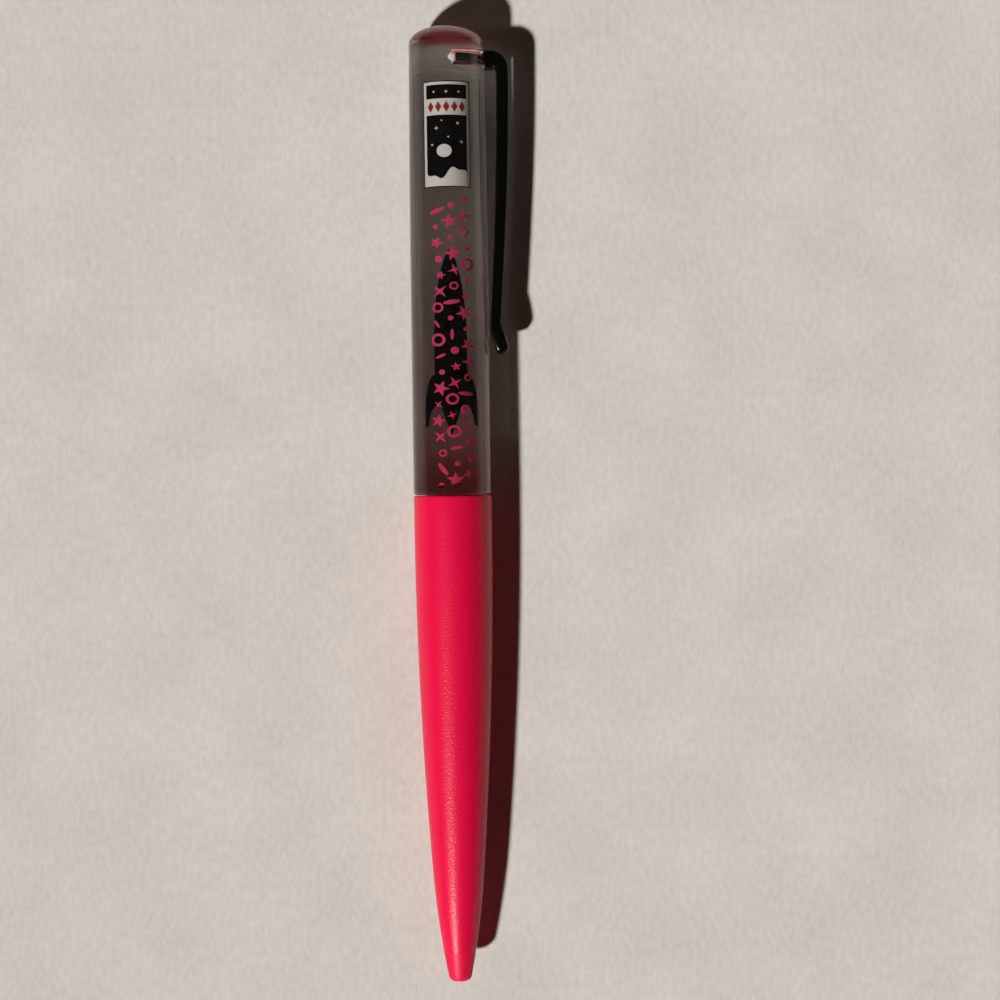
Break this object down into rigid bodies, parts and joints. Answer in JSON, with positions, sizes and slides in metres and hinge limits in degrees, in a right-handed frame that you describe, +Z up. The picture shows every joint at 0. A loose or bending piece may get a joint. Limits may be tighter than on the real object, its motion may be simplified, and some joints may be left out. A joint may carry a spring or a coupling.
{
  "type": "floating-picture pen",
  "caption": "Twist-action ballpoint pen with a clear domed oil-filled upper barrel holding a sliding floating figure, a tapered lower barrel and a bent pocket clip.",
  "frame": {"origin": "on the table under the joint between the two barrels, straight below the pen's axis", "axes": "+Y along the pen towards the dome, +X towards the pocket clip, +Z up from the table"},
  "size_m": [0.0148, 0.1402, 0.0115],
  "materials": {
    "clear_acrylic": "clear, polished",
    "black_plastic": "gloss",
    "pink_plastic": "satin with a fine moulded grain",
    "printed_film": "clear film with a pink print",
    "panel_print": "opaque print",
    "black_film": "matt",
    "black_rubber": "matt",
    "white_plastic": "satin",
    "natural_plastic": "translucent",
    "ink": "wet",
    "point_brass": "turned",
    "spring_steel": "drawn wire",
    "ball_steel": "ground"
  },
  "bodies": {
    "upper": {"clear_barrel": "clear_acrylic", "picture_film": "printed_film", "picture_panel": "panel_print", "chamber_plug": "pink_plastic", "plug_ring": "black_rubber", "twist_cam": "white_plastic"},
    "clip": {"clip": "black_plastic"},
    "floater": {"floater": "black_film"},
    "lower": {"lower_barrel": "pink_plastic", "swivel_bush": "pink_plastic", "guide_sleeve": "white_plastic", "return_spring": "spring_steel"},
    "refill": {"cam_follower": "white_plastic", "refill_tube": "natural_plastic", "ink_column": "ink", "grease_plug": "natural_plastic", "refill_point": "point_brass"},
    "ball": {"point_ball": "ball_steel"}
  },
  "joints": [
    {"name": "twist", "type": "hinge", "parent": "upper", "child": "lower", "pos_m": [0, 0, 0.00575], "axis": [0, 1, 0], "range_deg": [0, 130]},
    {"name": "refill_slide", "type": "slide", "parent": "lower", "child": "refill", "axis": [0, -1, 0], "range_m": [0, 0.0047], "deforming": ["return_spring"]},
    {"name": "floater_slide", "type": "slide", "parent": "upper", "child": "floater", "axis": [0, 1, 0], "range_m": [-0.0099, 0.0255]},
    {"name": "clip_flex", "type": "hinge", "parent": "upper", "child": "clip", "pos_m": [0.0032, 0.0641, 0.00575], "axis": [0, 0, 1], "range_deg": [0, 2.5], "stiffness_Nm_per_rad": 1},
    {"name": "ball_roll", "type": "hinge", "parent": "refill", "child": "ball", "pos_m": [0, -0.06975, 0.00575], "axis": [1, 0, 0], "continuous": true}
  ],
  "couplings": [
    {"joint": "twist", "follows": "refill_slide", "rad_per_m": 482.74}
  ]
}
